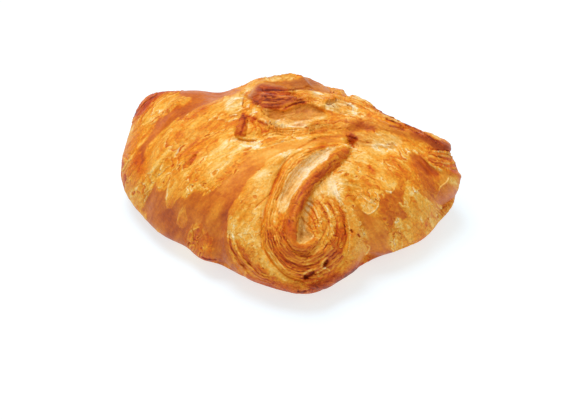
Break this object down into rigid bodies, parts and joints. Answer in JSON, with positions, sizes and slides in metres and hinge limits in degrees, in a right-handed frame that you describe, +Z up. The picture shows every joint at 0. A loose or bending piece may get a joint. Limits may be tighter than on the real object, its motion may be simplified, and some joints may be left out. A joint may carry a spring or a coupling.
{
  "type": "quark pastry",
  "caption": "Folded flaky pastry with a curled front corner, rounded side lobes and a raised back crest.",
  "frame": {"origin": "centre of the bounding box in plan, at the height of the flat sole", "axes": "+Z up, -Y towards the curled front corner, +X towards the broken layered end"},
  "size_m": [0.1322, 0.1058, 0.0447],
  "materials": {
    "crust": "baked flaky dough, golden to brown, slightly glossy where brushed"
  },
  "bodies": {
    "root": {"pastry": "crust"}
  },
  "joints": []
}
